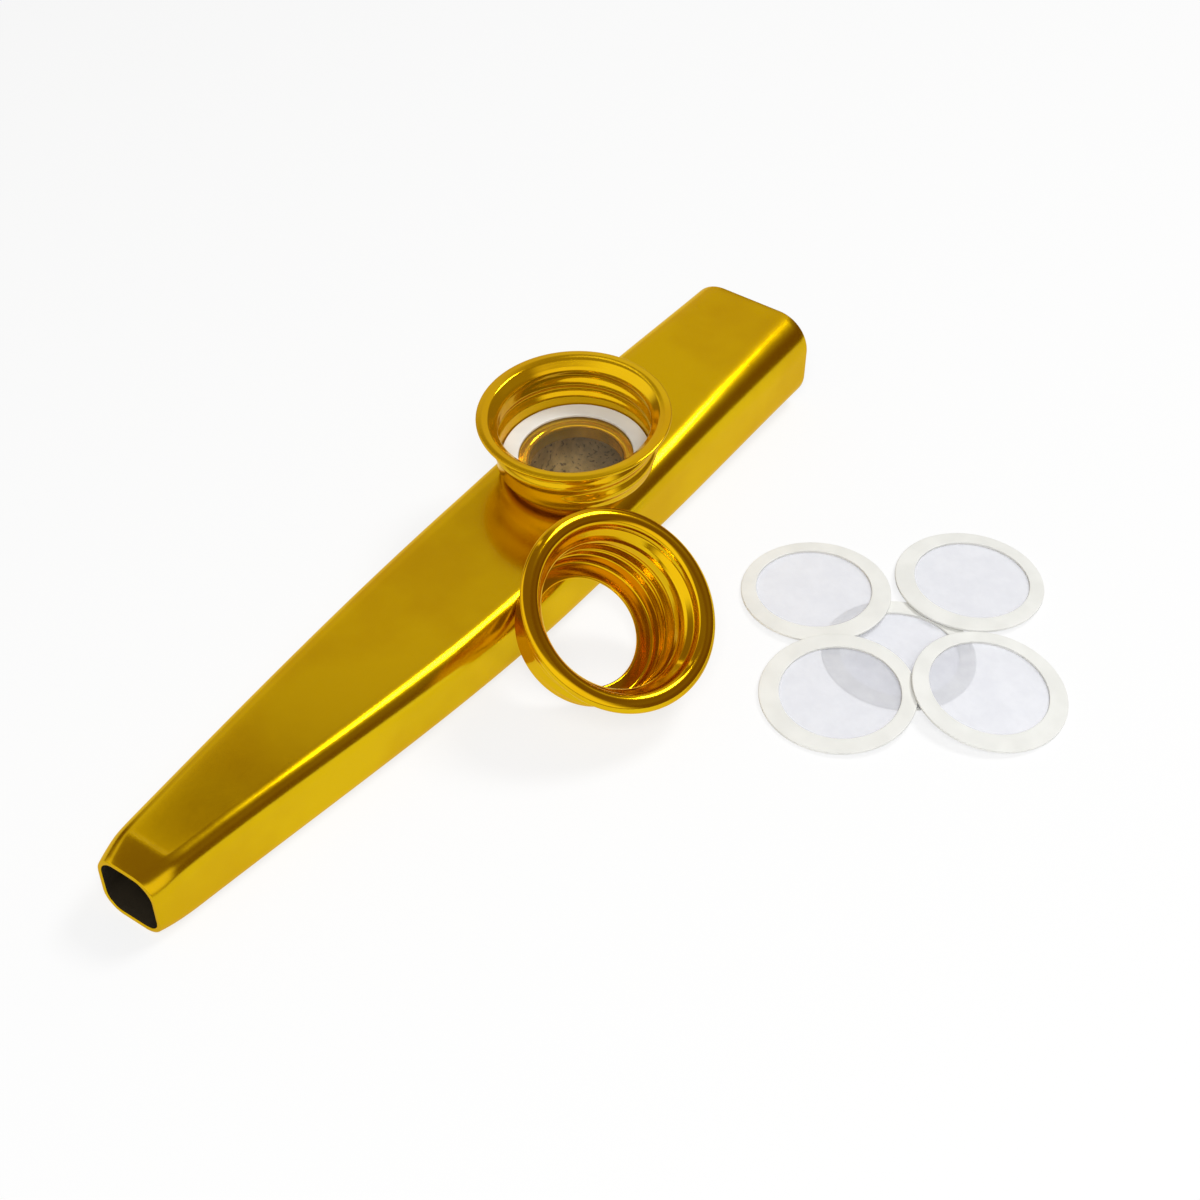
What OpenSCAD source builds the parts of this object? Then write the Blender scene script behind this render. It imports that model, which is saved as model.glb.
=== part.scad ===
// A metal kazoo, shown as its parts are laid out: a pressed tube that carries a
// threaded cup, a membrane in the cup, the screw cap taken off and leant on the
// tube, and five spare membranes in a loose pile.
// +Y runs along the tube to the end that is hummed into and +Z is up.
// The origin lies on the table, straight under the middle of the cup's seat.

/* [Tube] */
// Distance from the cup's axis to the end that is hummed into
mouth_reach = 41; // [36:0.1:60]
// Distance from the cup's axis to the narrow outlet
outlet_reach = 79; // [60:0.1:110]
// Widest width of the tube, beside the cup
tube_width = 19.9; // [19:0.1:26]
// Distance from the cup's axis back to the widest place
widest_back = 13.5; // [4:0.5:16]
// Height of the tube at the cup's axis
seat_height = 11.2; // [9:0.1:16]
// Slope of the flat that the cup stands on, in degrees
seat_slope = 4.5; // [0:0.1:6]
// Thickness of the tube's wall
tube_wall = 0.55; // [0.4:0.05:0.8]
// Radius of the tube's edges beside the cup
tube_edge = 3.3; // [2.5:0.1:4]

/* [Mouth end] */
// Width of the tube at the end that is hummed into
mouth_width = 18.7; // [14:0.1:22]
// Height of the tube at the end that is hummed into
mouth_height = 13.6; // [11:0.1:18]
// Radius of the tube's edges at that end
mouth_edge = 4.8; // [3:0.1:5.2]

/* [Outlet] */
// Width of the outlet
outlet_width = 8.3; // [6:0.1:9]
// Height of the outlet
outlet_height = 8.3; // [6:0.1:9]
// Radius of the outlet's corners
outlet_edge = 2.6; // [2:0.1:2.9]
// Length over which the tube closes to the outlet
nose_length = 5.6; // [4:0.1:8]
// Width of the tube where the nose starts
nose_width = 10; // [9.2:0.1:12]
// Height of the tube where the nose starts
nose_height = 9.2; // [8.2:0.1:10]
// Radius of the tube's edges where the nose starts
nose_edge = 2.2; // [2:0.1:3.2]

/* [Cup] */
// Height of the cup above its seat
cup_height = 8.4; // [8:0.1:12]
// Outer diameter of the cup's brim
cup_brim = 24.2; // [23.5:0.1:28]
// Width of the flat band round the brim
cup_band = 1.4; // [1:0.1:1.8]
// Height of the funnel under the brim
cup_funnel = 1.3; // [1:0.1:2]
// Thickness of the cup's sheet
cup_wall = 0.45; // [0.3:0.05:0.5]
// Height of the cup's floor above the foot that it stands on
floor_rise = 0.7; // [0.6:0.05:1]
// Outer diameter of the folded foot under the cup's floor
foot_size = 17.4; // [16:0.1:17.8]
// Width of the foot
foot_width = 1.1; // [1:0.1:1.5]
// Diameter of the throat in the cup's floor
throat_bore = 11.9; // [9:0.1:12]
// Radius of the bend between the cup's wall and its floor
cup_bend = 0.9; // [0.8:0.1:1.4]
// Radius of the rounded edge at the top of the throat
throat_edge = 0.4; // [0.2:0.05:0.45]
// Width of the lip that is folded out under the tube's wall
lip_fold = 0.5; // [0.3:0.05:0.6]

/* [Cap] */
// Depth of the cap from its brim to its neck's end
cap_depth = 10.5; // [9.5:0.1:14]
// Outer diameter of the cap's brim
cap_brim = 24.7; // [24.2:0.1:29]
// Outer diameter of the cap's neck
cap_neck = 18.6; // [17.8:0.1:18.7]
// Inner diameter of the cap's mouth, inside its rounded brim
cap_mouth = 20; // [19.5:0.1:20.6]
// Bore of the hole in the neck's end
cap_bore = 13.5; // [10:0.1:15]
// Thickness of the cap's sheet
cap_wall = 0.45; // [0.3:0.05:0.5]
// Height of the cap's rounded brim
cap_roll = 1.3; // [1.1:0.1:1.6]
// Height of the funnel between the brim and the neck
cap_funnel = 1.2; // [0.9:0.1:1.5]
// Radius of the bend at the neck's end
cap_bend = 0.9; // [0.7:0.1:1.2]
// Lean of the cap from upright, in degrees
cap_lean = 36.3; // [30:0.1:45]
// Turn of the cap's lean away from straight sideways, in degrees
cap_turn = -11; // [-15:0.5:5]
// Distance from the cup's axis back to the cap's neck
cap_along = 19.2; // [17:0.1:24]

/* [Thread] */
// Rise of the thread in one turn
thread_pitch = 2.2; // [1.8:0.1:2.6]
// Turns of the thread in the cup
cup_turns = 1.5; // [1:0.25:1.5]
// Turns of the thread on the cap
cap_turns = 2.25; // [1:0.25:2.5]
// Turn of the thread's start round the axis, in degrees
thread_start = -90; // [-180:90:180]
// Depth of the thread
thread_depth = 0.35; // [0.3:0.05:0.4]
// Width of the thread
thread_width = 1.2; // [0.8:0.1:1.4]

/* [Membranes] */
// Outer diameter of a membrane's paper ring
ring_size = 18.8; // [17:0.1:18.9]
// Diameter of the window in the ring
ring_window = 14.5; // [13:0.1:15.5]
// Thickness of the paper ring
ring_thick = 0.35; // [0.2:0.05:0.5]
// Thickness of the film under the ring
film_thick = 0.08; // [0.05:0.01:0.2]
// Distance of the pile's bottom membrane to the side of the cup's axis
pile_side = 45.3; // [40:0.1:70]
// Distance of the pile's bottom membrane past the cup's axis
pile_along = 4.6; // [-10:0.1:20]

/* [Hidden] */

// Finishes
gold = [0.80, 0.63, 0.08];
paper = [0.94, 0.94, 0.90];
clear_film = [0.88, 0.90, 0.95, 0.45];

// Clearances and the overrun of the cuts
overrun = 0.5;
lip_gap = 0.05;
ring_gap = 0.1;
rest_gap = 0.02;
lean_gap = 0.4;
table_gap = 0.02;
pile_gap = 0.08;
// How deep a thread's bead is rooted in its wall, and how deep its ends sink
bead_root = 0.2;
bead_sink = 0.1;
// Share of its depth that a bead has one step from its end
bead_start_share = 0.35;
// Sides of a spun piece, and half a side's turn. A bead is turned by that much, so
// that its corners lie between those of its wall
spin_sides = 72;
half_side = 180 / spin_sides;

// Steps along and round the tube
corner_steps = 8;
nose_steps = 6;
outlet_steps = 14;
seat_steps = 4;
mouth_steps = 7;
arc_steps = 6;

// The film is a little smaller than the ring that it is glued under
film_share = 0.975;

// How fast the tube widens and rises at its ends, as shares of length
nose_widening_share = 0.18;
nose_closing_share = 0.62;
nose_rise_share = 0.03;
nose_drop_share = 0.34;
mouth_narrowing_share = 0.045;
mouth_rise_share = 0.035;

// Where the upper spare membranes lie round the bottom one, as shares of a ring's size
spare_shares = [[-0.735, 0.183], [0.044, 0.886], [-0.123, -0.568], [0.648, 0.005]];
// What each upper spare rests on: 0 is the bottom one, 1 the first of the upper ones
spare_rests = [[0], [0], [0, 1], [0, 3]];
rim_samples = 60;
membrane_thick = ring_thick + film_thick;
ring_r = ring_size / 2;

// Derived sizes of the cup
cup_inner = ring_r + ring_gap;
cup_outer = cup_inner + cup_wall;
cup_brim_r = cup_brim / 2;
throat_r = throat_bore / 2;
lip_r = throat_r + cup_wall;
fold_r = lip_r + lip_fold;
seat_margin = 0.9;
seat_half = cup_outer + seat_margin;
seat_wall = tube_wall * cos(seat_slope);
seat_rise = tan(seat_slope);

// Derived sizes of the cap
cap_brim_r = cap_brim / 2;
cap_outer = cap_neck / 2;
cap_inner = cap_outer - cap_wall;

// The profile of a tapering part from a to b: t runs from 0 to 1 and the slopes
// at the two ends are given as the change over the whole stretch
function blend(t, a, b, slope_a, slope_b) =
    a * (2 * t^3 - 3 * t^2 + 1) + b * (3 * t^2 - 2 * t^3)
    + slope_a * (t^3 - 2 * t^2 + t) + slope_b * (t^3 - t^2);

// Points of an arc, in degrees
function arc(centre, r, from, to) =
    [for (i = [0 : arc_steps]) centre + r * [cos(from + (to - from) * i / arc_steps),
                                             sin(from + (to - from) * i / arc_steps)]];

// Width, height and edge radius of the tube at a distance along it
nose_start = nose_length - outlet_reach;
outlet_run = -seat_half - nose_start;
mouth_run = mouth_reach - seat_half;
back_run = -widest_back - nose_start;
front_run = mouth_reach + widest_back;
seat_low = seat_height - seat_half * seat_rise;
seat_high = seat_height + seat_half * seat_rise;

function tube_width_at(y) =
    y < nose_start ? blend((nose_start - y) / nose_length, nose_width, outlet_width,
                           -nose_widening_share * nose_length, -nose_closing_share * nose_length)
    : y < -widest_back ? blend((-widest_back - y) / back_run, tube_width, nose_width,
                               0, -nose_widening_share * back_run)
    : blend((y + widest_back) / front_run, tube_width, mouth_width,
            0, -mouth_narrowing_share * front_run);

function tube_height_at(y) =
    y < nose_start ? blend((nose_start - y) / nose_length, nose_height, outlet_height,
                           -nose_rise_share * nose_length, -nose_drop_share * nose_length)
    : y < -seat_half ? blend((-seat_half - y) / outlet_run, seat_low, nose_height,
                             -seat_rise * outlet_run, -nose_rise_share * outlet_run)
    : y > seat_half ? blend((y - seat_half) / mouth_run, seat_high, mouth_height,
                            seat_rise * mouth_run, mouth_rise_share * mouth_run)
    : seat_height + y * seat_rise;

function tube_edge_at(y) =
    y < nose_start ? blend((nose_start - y) / nose_length, nose_edge, outlet_edge, 0, 0)
    : y < 0 ? blend(y / nose_start, tube_edge, nose_edge, 0, 0)
    : blend(y / mouth_reach, tube_edge, mouth_edge, 0, 0);

tube_stations = concat(
    [for (i = [0 : nose_steps - 1]) -outlet_reach + nose_length * i / nose_steps],
    [for (i = [0 : outlet_steps - 1]) nose_start + outlet_run * i / outlet_steps],
    [for (i = [0 : seat_steps - 1]) -seat_half + 2 * seat_half * i / seat_steps],
    [for (i = [0 : mouth_steps]) seat_half + mouth_run * i / mouth_steps]);

// One ring of points round the tube, inset by a wall
function tube_ring(y, inset) =
    let (half = tube_width_at(y) / 2 - inset,
         top = tube_height_at(y) - inset,
         r = tube_edge_at(y) - inset,
         corners = [[half - r, top - r], [r - half, top - r], [r - half, inset + r], [half - r, inset + r]])
    [for (c = [0 : 3]) for (k = [0 : corner_steps])
        let (a = 90 * (c + k / corner_steps))
        [corners[c][0] + r * cos(a), y, corners[c][1] + r * sin(a)]];

ring_count = 4 * (corner_steps + 1);
station_count = len(tube_stations);

function ring_point(station, k) = station * ring_count + k % ring_count;

// The pressed tube without its hole: outer skin, inner skin and two cut ends
module tube_shell() {
    inner = station_count * ring_count;
    last = station_count - 1;
    points = concat([for (y = tube_stations) each tube_ring(y, 0)],
                    [for (y = tube_stations) each tube_ring(y, tube_wall)]);
    faces = concat(
        [for (s = [0 : last - 1]) for (k = [0 : ring_count - 1]) each [
            [ring_point(s, k), ring_point(s + 1, k), ring_point(s + 1, k + 1)],
            [ring_point(s, k), ring_point(s + 1, k + 1), ring_point(s, k + 1)],
            [inner + ring_point(s, k), inner + ring_point(s + 1, k + 1), inner + ring_point(s + 1, k)],
            [inner + ring_point(s, k), inner + ring_point(s, k + 1), inner + ring_point(s + 1, k + 1)]]],
        [for (k = [0 : ring_count - 1]) each [
            [ring_point(0, k), ring_point(0, k + 1), inner + ring_point(0, k + 1)],
            [ring_point(0, k), inner + ring_point(0, k + 1), inner + ring_point(0, k)],
            [ring_point(last, k), inner + ring_point(last, k + 1), ring_point(last, k + 1)],
            [ring_point(last, k), inner + ring_point(last, k), inner + ring_point(last, k + 1)]]]);
    polyhedron(points, faces, convexity = 8);
}

// Stands its children on the sloping seat, with the cup's axis as their Z
module on_seat() {
    translate([0, 0, seat_height])
        rotate([seat_slope, 0, 0])
            children();
}

// The tube, with the round hole that the cup's lip goes through
module body_tube() {
    color(gold)
    difference() {
        tube_shell();
        on_seat()
            translate([0, 0, -tube_wall - overrun])
                cylinder(r = lip_r + lip_gap, h = tube_wall + 2 * overrun, $fn = 96);
    }
}

// A helical bead round a wall: it stands out from wall_r by the thread's depth, is
// rooted in the wall, and sinks under the wall's surface at both ends
module thread_bead(wall_r, turns, low) {
    steps_a_turn = 36;
    steps = floor(turns * steps_a_turn);
    runout = steps_a_turn / 4;
    // Height across the bead and how far it stands out, as shares of its width and depth
    section_shares = [[-0.5, -1], [-0.25, 0.72], [0, 1], [0.25, 0.72], [0.5, -1]];
    sides = len(section_shares);
    points = [for (i = [0 : steps]) each
        let (a = thread_start + half_side + 360 * i / steps_a_turn,
             z = low + thread_pitch * i / steps_a_turn,
             from_end = min(i, steps - i),
             fade = min(1, bead_start_share + (1 - bead_start_share) * from_end / runout))
        [for (p = section_shares)
            let (out = from_end == 0 ? -bead_sink : p[1] * fade * thread_depth,
                 r = wall_r + (p[1] < 0 ? -bead_root : out))
            [r * cos(a), r * sin(a), z + p[0] * thread_width]]];
    faces = concat(
        [for (i = [0 : steps - 1]) for (k = [0 : sides - 1]) each
            let (a = i * sides + k, b = i * sides + (k + 1) % sides)
            [[a, b, b + sides], [a, b + sides, a + sides]]],
        [[for (k = [0 : sides - 1]) sides - 1 - k]],
        [[for (k = [0 : sides - 1]) steps * sides + k]]);
    polyhedron(points, faces, convexity = 6);
}

// Profile of the spun cup, from the bottom of its lip up the inside, over the brim
// and back down the outside. x is the radius and y the height above the seat
edge_round = cup_wall / 2;
foot_bend = 0.5;
foot_outer = foot_size / 2;
foot_inner = foot_outer - foot_width;
floor_top = floor_rise + cup_wall;
funnel_low = cup_height - cup_funnel;
band_inner = cup_brim_r - cup_band;
fold_top = -seat_wall - lip_gap;
cup_profile = concat(
    [[throat_r, fold_top - cup_wall]],
    arc([throat_r + throat_edge, floor_top - throat_edge], throat_edge, 180, 90),
    arc([cup_inner - cup_bend + cup_wall, floor_rise + cup_bend], cup_bend - cup_wall, 270, 360),
    [[cup_inner, funnel_low]],
    arc([band_inner, cup_height - cup_wall], cup_wall, 150, 90),
    arc([cup_brim_r - edge_round, cup_height - edge_round], edge_round, 90, -90),
    [[band_inner, cup_height - cup_wall]],
    [[cup_outer, funnel_low - cup_wall / 2]],
    arc([cup_outer - cup_bend, floor_rise + cup_bend], cup_bend, 0, -90),
    [[foot_outer, floor_rise]],
    arc([foot_outer - foot_bend, foot_bend], foot_bend, 0, -90),
    arc([foot_inner + foot_bend, foot_bend], foot_bend, 270, 180),
    [[foot_inner, floor_rise], [lip_r, floor_rise], [lip_r, fold_top]],
    arc([fold_r - edge_round, fold_top - edge_round], edge_round, 90, -90));

cup_thread_low = floor_rise + cup_bend + thread_width;

// The membrane lies on the bend between the cup's floor and its wall. The rise of
// the bend is worked out under the ring's edge and under the film's edge
bend_in = cup_bend - cup_wall;
film_reach = max(0, ring_r * film_share - cup_inner + bend_in);
ring_rise = bend_in - sqrt(bend_in^2 - max(0, bend_in - ring_gap)^2);
film_rise = bend_in - sqrt(bend_in^2 - film_reach^2);
rest_height = floor_top + max(ring_rise - film_thick, film_rise) + rest_gap;

// The threaded cup that is fixed in the tube's top
module turret_cup() {
    color(gold)
    on_seat()
    difference() {
        union() {
            rotate_extrude($fn = spin_sides)
                polygon(cup_profile);
            thread_bead(cup_outer, cup_turns, cup_thread_low);
        }
        thread_bead(cup_inner, cup_turns, cup_thread_low);
    }
}

// Profile of the spun cap, from the hole in its neck's end up the inside, over the
// rounded brim and back down the outside. Its brim is a half-round roll
roll_outer_share = 0.6;
roll_low = cap_depth - cap_roll;
roll_outer_r = cap_roll * roll_outer_share;
cap_crown = cap_brim_r - roll_outer_r;
cap_mouth_r = cap_mouth / 2;
neck_top = roll_low - cap_funnel;
cap_thread_low = cap_bend + thread_width;
cap_profile = concat(
    [[cap_bore / 2, 0], [cap_bore / 2, cap_wall]],
    arc([cap_inner - cap_bend + cap_wall, cap_bend], cap_bend - cap_wall, 270, 360),
    [[cap_inner, neck_top], [cap_mouth_r, roll_low]],
    [for (i = [1 : arc_steps - 1]) let (a = 180 - 90 * i / arc_steps)
        [cap_crown + (cap_crown - cap_mouth_r) * cos(a), roll_low + cap_roll * sin(a)]],
    arc([cap_crown, cap_depth - roll_outer_r], roll_outer_r, 90, -90),
    [[cap_mouth_r + cap_wall / 2, roll_low - cap_wall], [cap_outer, neck_top - cap_wall / 2]],
    arc([cap_outer - cap_bend, cap_bend], cap_bend, 0, -90));

// Where the cap stands: the edge of its neck on the table, and the flange at its
// neck's end leaning on the tube's upper edge. Of all places along the tube that the
// flange can touch, the one that holds the cap farthest out counts
cap_axis = [sin(cap_lean) * cos(cap_turn), sin(cap_lean) * sin(cap_turn), cos(cap_lean)];
cap_up = table_gap + cap_bend - cap_bend * cos(cap_lean) + (cap_outer - cap_bend) * sin(cap_lean);
lean_reach = norm([cap_axis[0], cap_axis[2]]);
flange_r = cap_outer - cap_bend;
lean_step = 0.5;

function lean_point(y) =
    let (r = tube_edge_at(y))
    [tube_width_at(y) / 2 - r + r * cap_axis[0] / lean_reach, y,
     tube_height_at(y) - r + r * cap_axis[2] / lean_reach];

function lean_side(p) =
    p[0] + ((p[1] + cap_along) * cap_axis[1] + (p[2] - cap_up) * cap_axis[2]) / cap_axis[0];

cap_side = lean_gap / cap_axis[0] + max([for (y = [-cap_along - flange_r : lean_step : -cap_along + flange_r])
    let (p = lean_point(y), side = lean_side(p))
    if (norm(p - [side, -cap_along, cap_up]) <= flange_r) side]);

// The screw cap, taken off and leant against the tube
module screw_cap() {
    color(gold)
    translate([cap_side, -cap_along, cap_up])
        rotate([0, cap_lean, cap_turn])
            difference() {
                union() {
                    rotate_extrude($fn = spin_sides)
                        polygon(cap_profile);
                    thread_bead(cap_outer, cap_turns, cap_thread_low);
                }
                thread_bead(cap_inner, cap_turns, cap_thread_low);
            }
}

// A membrane's paper ring and the film glued under it, standing on z = 0
module paper_ring() {
    translate([0, 0, film_thick])
        difference() {
            cylinder(d = ring_size, h = ring_thick, $fn = 96);
            translate([0, 0, -overrun])
                cylinder(d = ring_window, h = ring_thick + 2 * overrun, $fn = 96);
        }
}

module film_disc() {
    cylinder(d = ring_size * film_share, h = film_thick, $fn = 96);
}

module fitted_ring() {
    color(paper)
    on_seat()
        translate([0, 0, rest_height])
            paper_ring();
}

module fitted_film() {
    color(clear_film)
    on_seat()
        translate([0, 0, rest_height])
            film_disc();
}

// The pile. Each upper spare has its far rim on the table and leans towards the
// bottom one. Its slope is the least at which it clears what it rests on
pile_centre = [pile_side, pile_along];

function spare_centre(i) = i == 0 ? pile_centre : pile_centre + ring_size * spare_shares[i - 1];

function spare_lean(i) = i == 0 ? [1, 0] : -spare_shares[i - 1] / norm(spare_shares[i - 1]);

function plane_height(i, slope, p) =
    i == 0 ? 0 : slope * (ring_r + (p - spare_centre(i)) * spare_lean(i));

function rim(i) = [for (k = [0 : rim_samples - 1])
    spare_centre(i) + ring_r * [cos(360 * k / rim_samples), sin(360 * k / rim_samples)]];

function shared_points(i, j) = concat(
    [for (p = rim(i)) if (norm(p - spare_centre(j)) <= ring_r) p],
    [for (p = rim(j)) if (norm(p - spare_centre(i)) <= ring_r) p]);

function spare_slope(i) = i == 0 ? 0 : max([for (j = spare_rests[i - 1])
    let (under = spare_slope(j))
    each [for (p = shared_points(i, j))
        let (reach = ring_r + (p - spare_centre(i)) * spare_lean(i))
        if (reach > ring_thick) (plane_height(j, under, p) + membrane_thick + pile_gap) / reach]]);

// Places a spare membrane in the pile
module in_pile(i) {
    lean = spare_lean(i);
    tilt = atan(spare_slope(i));
    centre = spare_centre(i);
    translate([centre[0], centre[1], table_gap + ring_r * sin(tilt)])
        rotate(a = tilt, v = [lean[1], -lean[0], 0])
            children();
}

module spare_ring(i) {
    color(paper)
    in_pile(i)
        paper_ring();
}

module spare_film(i) {
    color(clear_film)
    in_pile(i)
        film_disc();
}

body_tube();
turret_cup();
screw_cap();
fitted_ring();
fitted_film();
for (i = [0 : 4]) {
    spare_ring(i);
    spare_film(i);
}
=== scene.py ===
# %% [markdown]
# # A metal kazoo, taken apart
# The kazoo lies on white ground with its screw cap leant on its side and five
# spare membranes in a loose pile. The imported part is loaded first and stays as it
# is. Each piece made below stands for one of its nodes, at the same place and
# size, and only looks finer.

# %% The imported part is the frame
import math

import bmesh
import bpy
import numpy as np
from mathutils import Matrix, Vector


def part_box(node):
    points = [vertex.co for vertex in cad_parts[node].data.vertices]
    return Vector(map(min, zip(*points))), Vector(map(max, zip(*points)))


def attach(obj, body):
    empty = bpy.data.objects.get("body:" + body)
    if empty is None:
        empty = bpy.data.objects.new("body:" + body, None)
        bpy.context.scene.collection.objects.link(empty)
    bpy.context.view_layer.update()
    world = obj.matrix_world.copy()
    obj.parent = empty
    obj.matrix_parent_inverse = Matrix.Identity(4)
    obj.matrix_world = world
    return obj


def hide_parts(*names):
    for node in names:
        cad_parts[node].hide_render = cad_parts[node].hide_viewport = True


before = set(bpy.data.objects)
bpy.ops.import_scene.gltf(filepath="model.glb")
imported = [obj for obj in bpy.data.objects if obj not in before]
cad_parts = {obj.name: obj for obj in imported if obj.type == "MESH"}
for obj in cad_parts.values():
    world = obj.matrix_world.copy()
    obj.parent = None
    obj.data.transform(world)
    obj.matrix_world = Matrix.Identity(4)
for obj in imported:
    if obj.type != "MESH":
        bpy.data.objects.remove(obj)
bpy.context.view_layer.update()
MM = 0.001


# %% [markdown]
# ## One word for a wire
# A node tree is easier to read as arithmetic. This class holds one socket: sums
# and products with it add Math nodes, and `node` adds any other node. The same
# class serves materials and Geometry Nodes, which share their maths nodes.

# %% The socket wrapper
class Wire:
    """A socket of a node tree, or the bare tree where the socket is None."""

    def __init__(self, tree, socket=None):
        self.tree, self.socket = tree, socket

    def node(self, kind, settings=None, inputs=None, output=0):
        """Adds a node with its settings, and then the values or links of its sockets."""
        made = self.tree.nodes.new(kind)
        for name, value in (settings or {}).items():
            setattr(made, name, value)
        for key, value in (inputs or {}).items():
            if isinstance(value, Wire):
                self.tree.links.new(value.socket, made.inputs[key])
            else:
                made.inputs[key].default_value = value
        return Wire(self.tree, made.outputs[output])

    def maths(self, operation, *others, swapped=False):
        """A Math node on this value and the others, or with the others first."""
        values = (*others, self) if swapped else (self, *others)
        return self.node("ShaderNodeMath", {"operation": operation}, dict(enumerate(values)))

    def __add__(self, other):
        return self.maths("ADD", other)

    def __sub__(self, other):
        return self.maths("SUBTRACT", other)

    def __rsub__(self, other):
        return self.maths("SUBTRACT", other, swapped=True)

    def __mul__(self, other):
        return self.maths("MULTIPLY", other)

    def __truediv__(self, other):
        return self.maths("DIVIDE", other)

    def __rtruediv__(self, other):
        return self.maths("DIVIDE", other, swapped=True)

    __radd__, __rmul__ = __add__, __mul__

    def step(self, low, high, first=0.0, last=1.0):
        """Goes smoothly from first to last as this value goes from low to high."""
        ranges = {"From Min": low, "From Max": high, "To Min": first, "To Max": last}
        return self.node(
            "ShaderNodeMapRange", {"interpolation_type": "SMOOTHSTEP"}, {"Value": self, **ranges}
        )

    def parts(self):
        """The three parts of a vector."""
        made = self.tree.nodes.new("ShaderNodeSeparateXYZ")
        self.tree.links.new(self.socket, made.inputs[0])
        return [Wire(self.tree, out) for out in made.outputs]

    def vector(self, x=0.0, y=0.0, z=0.0):
        return self.node("ShaderNodeCombineXYZ", None, {0: x, 1: y, 2: z})

    def noise(self, vector, scale, detail=2.0, roughness=0.5):
        sizes = {"Scale": scale, "Detail": detail, "Roughness": roughness}
        return self.node("ShaderNodeTexNoise", None, {"Vector": vector, **sizes})

    def mix(self, factor, first, second):
        """Mixes two colours, each a wire or three numbers."""
        first, second = [c if isinstance(c, Wire) else (*c, 1) for c in (first, second)]
        inputs = {0: factor, 6: first, 7: second}
        return self.node("ShaderNodeMix", {"data_type": "RGBA"}, inputs, 2)

    def bump(self, height, strength, depth):
        """The shading normal of a surface that is this rough, with its depth in metres."""
        inputs = {"Strength": strength, "Distance": depth, "Height": height}
        return self.node("ShaderNodeBump", None, inputs)


# %% [markdown]
# ## Starting and ending a material
# Every finish below starts as an empty tree and ends in one Material Output. Two
# helpers do that, so that each finish shows only what is its own. All of them
# read Object coordinates, which need no unwrapping and stay with the piece.

# %% Starting and ending a material
def empty_material(name):
    material = bpy.data.materials.new(name)
    material.use_nodes = True
    material.node_tree.nodes.clear()
    return material, Wire(material.node_tree)


def put_shader(wire, shader):
    made = wire.tree.nodes.new("ShaderNodeOutputMaterial")
    wire.tree.links.new(shader.socket, made.inputs["Surface"])


# %% [markdown]
# ## Gold anodising
# The tube, cup and cap are thin aluminium, dyed gold by anodising. Gold paint
# would be a coloured layer on a dull base. Here the metal itself is coloured, so
# the colour sits in a metallic base, and a weak clear coat gives the pale core of
# the highlights. The colour drifts a little, the finish has a satin grain, and a
# few dark specks and pores lie in it. A noise's scale counts its features per
# metre, so 350 gives clouds about 3 mm wide. The cup and cap were spun on a
# lathe, so theirs has fine rings round the axis, and a Mapping node turns that
# pattern into the piece's own axes.

# %% Gold anodising
GOLD_LIGHT, GOLD_DEEP = (0.70, 0.47, 0.002), (0.63, 0.395, 0.001)
SPUN_LIGHT, SPUN_DEEP = (0.75, 0.48, 0.002), (0.68, 0.39, 0.001)
GOLD_EDGE, TUBE_ROUGH, SPUN_ROUGH = (0.92, 0.70, 0.10, 1), 0.21, 0.12
SPECK = (0.16, 0.075, 0.010)
# How much each pattern changes the roughness, and how high it stands in the bump
CLOUD_ROUGH, GRAIN_ROUGH, SPECK_ROUGH, RING_ROUGH = 0.08, 0.10, 0.2, 0.12
CLOUD_HIGH, GRAIN_HIGH, RING_HIGH = 0.6, 0.5, 0.9


def gold_finish(name, roughness, light=GOLD_LIGHT, deep=GOLD_DEEP, place=None, metal=1.0):
    material, w = empty_material(name)
    point = w.node("ShaderNodeTexCoord", output="Object")
    if place is not None:
        where = {"Location": place.translation, "Rotation": place.to_euler()}
        point = w.node(
            "ShaderNodeMapping", {"vector_type": "TEXTURE"}, {"Vector": point, **where}
        )
    drift = w.noise(point, scale=70, detail=3).step(0.35, 0.65)
    cloud = w.noise(point, scale=350, detail=4, roughness=0.6)
    grain = w.noise(point, scale=3600, detail=3, roughness=0.7)
    pores = w.node("ShaderNodeTexVoronoi", None, {"Vector": point, "Scale": 650, "Randomness": 1})
    rare = w.noise(point, scale=160, detail=1).step(0.64, 0.70)
    speck = pores.step(0.04, 0.08, 1, 0) * rare
    colour = w.mix(drift, deep, light)
    colour = w.mix(speck * 0.6, colour, SPECK)
    rough = roughness + (cloud - 0.5) * CLOUD_ROUGH + (grain - 0.5) * GRAIN_ROUGH
    rough = rough + speck * SPECK_ROUGH
    height = grain * GRAIN_HIGH + cloud * CLOUD_HIGH
    if place is not None:
        x, y, z = point.parts()
        radius = (x * x + y * y).maths("SQRT")
        rings = w.noise(w.vector(radius, 0, z), scale=6500, detail=2, roughness=0.7)
        height = height + rings * RING_HIGH
        rough = rough + (rings - 0.5) * RING_ROUGH
    inputs = {
        "Base Color": colour,
        "Roughness": rough,
        "Metallic": metal,
        "Specular Tint": GOLD_EDGE,
        "Coat Weight": 0.1,
        "Coat Roughness": 0.06,
        "Normal": w.bump(height, strength=0.16, depth=0.02 * MM),
    }
    put_shader(w, w.node("ShaderNodeBsdfPrincipled", None, inputs))
    return material
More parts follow.
